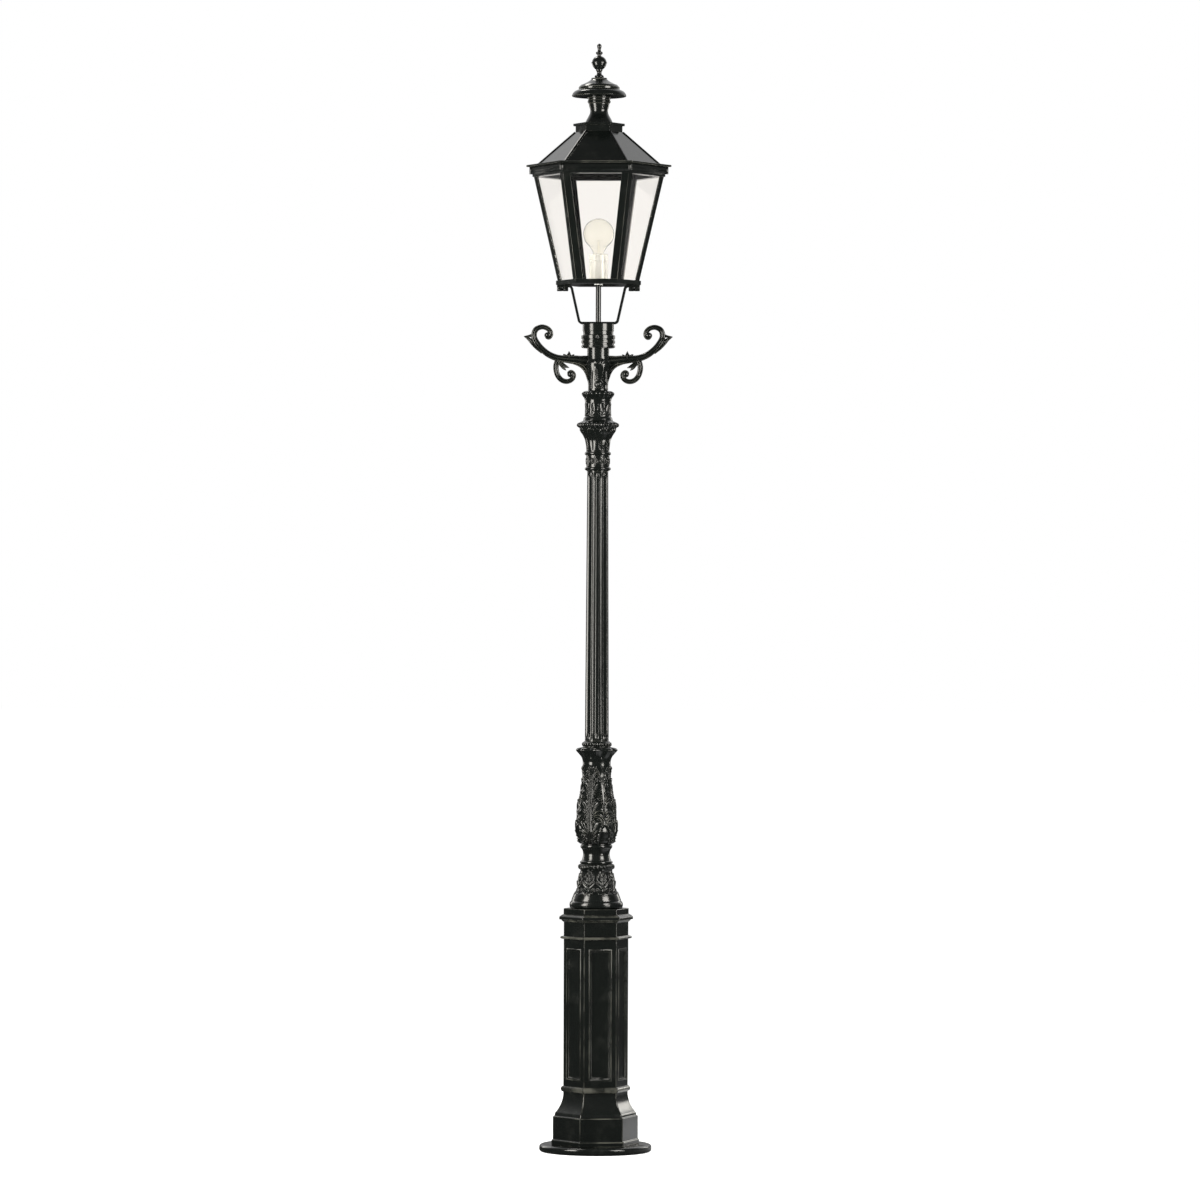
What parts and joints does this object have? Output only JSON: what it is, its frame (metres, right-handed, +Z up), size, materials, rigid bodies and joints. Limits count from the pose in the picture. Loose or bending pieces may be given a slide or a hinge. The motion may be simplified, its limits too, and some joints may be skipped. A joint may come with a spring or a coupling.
{
  "type": "lamp post",
  "caption": "Free-standing cast lamp post with a panelled six-sided pedestal, leafy baluster, fluted shaft, scroll arms and a six-sided glazed lantern.",
  "frame": {"origin": "centre of the base plate's underside, on the post's axis", "axes": "+Z up the post, the scroll arms along X, the pictured side faces -Y"},
  "size_m": [0.388, 0.3434, 2.88],
  "materials": {
    "cast_paint": "very dark green-black gloss paint over castings",
    "sheet_paint": "very dark green-black gloss paint over sheet and bar",
    "white_enamel": "white enamel",
    "steel": "zinc-plated steel",
    "grey_plastic": "moulded grey plastic",
    "porcelain": "white glazed porcelain",
    "cable_sheath": "black cable sheath",
    "lamp_brass": "bright brass",
    "pane_glass": "clear pane",
    "bulb_glass": "clear globe glass"
  },
  "bodies": {
    "post": {"base_plate": "cast_paint", "pedestal_screws": "steel", "pedestal": "cast_paint", "door_hinge_leaves": "sheet_paint", "door_hinge_pins": "steel", "fuse_box_rail": "steel", "fuse_box_base": "grey_plastic", "fuse_box_cover": "grey_plastic", "fuse_carrier": "porcelain", "cable_glands": "grey_plastic", "lamp_cable": "cable_sheath", "core_tube": "steel", "tube_nut": "steel", "baluster": "cast_paint", "fluted_shaft": "cast_paint", "capital": "cast_paint", "bracket_hub": "cast_paint", "scroll_arm_left": "cast_paint", "scroll_arm_right": "cast_paint"},
    "door": {"service_door": "cast_paint", "lock_housing": "steel"},
    "key_core": {"lock_core": "steel"},
    "lantern": {"post_top_collar": "cast_paint", "collar_set_screws": "steel", "yoke": "sheet_paint", "yoke_bolts": "sheet_paint", "stem_tube": "sheet_paint", "stem_nuts": "steel", "lower_ring": "sheet_paint", "floor_plate": "white_enamel", "upper_frame": "sheet_paint", "lampholder": "porcelain", "lamp_cap": "lamp_brass", "bulb_glass": "bulb_glass", "filament_mount": "bulb_glass", "roof_hinge_bracket": "sheet_paint", "roof_hinge_pin": "steel", "corner_post_1": "sheet_paint", "corner_post_2": "sheet_paint", "corner_post_3": "sheet_paint", "corner_post_4": "sheet_paint", "corner_post_5": "sheet_paint", "corner_post_6": "sheet_paint", "glass_pane_1": "pane_glass", "glass_pane_2": "pane_glass", "glass_pane_3": "pane_glass", "glass_pane_4": "pane_glass", "glass_pane_5": "pane_glass", "glass_pane_6": "pane_glass"},
    "roof": {"roof_rim": "sheet_paint", "roof_hood": "sheet_paint", "hip_strips": "sheet_paint", "crown_plate": "sheet_paint", "chimney": "cast_paint", "vent_cap": "cast_paint", "finial": "cast_paint", "tie_rod": "steel", "rod_nut": "steel", "roof_hinge_leaf": "sheet_paint"}
  },
  "joints": [
    {"name": "lantern_swivel", "type": "hinge", "parent": "post", "child": "lantern", "pos_m": [0, 0, 2.088], "axis": [0, 0, 1], "continuous": true},
    {"name": "roof_hinge", "type": "hinge", "parent": "lantern", "child": "roof", "pos_m": [0.00885, 0.16895, 2.562], "axis": [-0.9986, 0.0523, 0], "range_deg": [0, 100]},
    {"name": "door_hinge", "type": "hinge", "parent": "post", "child": "door", "pos_m": [0.01619, 0.08154, 0.358], "axis": [0, 0, -1], "range_deg": [0, 110]},
    {"name": "lock_turn", "type": "hinge", "parent": "door", "child": "key_core", "pos_m": [-0.01158, 0.07309, 0.506], "axis": [-0.1564, 0.9877, 0], "range_deg": [0, 90]}
  ]
}
